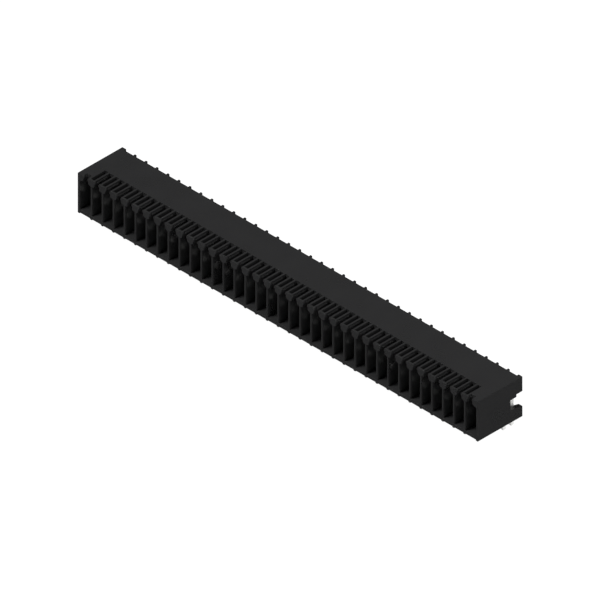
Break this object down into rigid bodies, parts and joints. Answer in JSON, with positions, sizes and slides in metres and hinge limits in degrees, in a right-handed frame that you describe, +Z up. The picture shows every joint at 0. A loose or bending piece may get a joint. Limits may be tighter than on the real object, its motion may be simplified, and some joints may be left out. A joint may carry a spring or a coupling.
{
  "type": "board connector",
  "caption": "Right angle board connector: one long black moulded row of open keyed chambers, with a pin contact in each and two solder tails below it.",
  "frame": {"origin": "middle of the row's length, half way between the two rows of solder tails, on the board surface under the feet", "axes": "+X along the row to the right seen from the mating face, +Y from the mating face to the rear, +Z up from the board"},
  "size_m": [0.1276, 0.0143, 0.0141],
  "materials": {
    "housing": "black moulded plastic, low sheen",
    "contacts": "tin plated, soft grey shine"
  },
  "bodies": {
    "root": {"housing": "housing", "contact_01": "contacts", "contact_02": "contacts", "contact_03": "contacts", "contact_04": "contacts", "contact_05": "contacts", "contact_06": "contacts", "contact_07": "contacts", "contact_08": "contacts", "contact_09": "contacts", "contact_10": "contacts", "contact_11": "contacts", "contact_12": "contacts", "contact_13": "contacts", "contact_14": "contacts", "contact_15": "contacts", "contact_16": "contacts", "contact_17": "contacts", "contact_18": "contacts", "contact_19": "contacts", "contact_20": "contacts", "contact_21": "contacts", "contact_22": "contacts", "contact_23": "contacts", "contact_24": "contacts", "contact_25": "contacts", "contact_26": "contacts", "contact_27": "contacts", "contact_28": "contacts", "contact_29": "contacts", "contact_30": "contacts", "contact_31": "contacts", "contact_32": "contacts", "contact_33": "contacts", "contact_34": "contacts", "contact_35": "contacts", "contact_36": "contacts"}
  },
  "joints": []
}
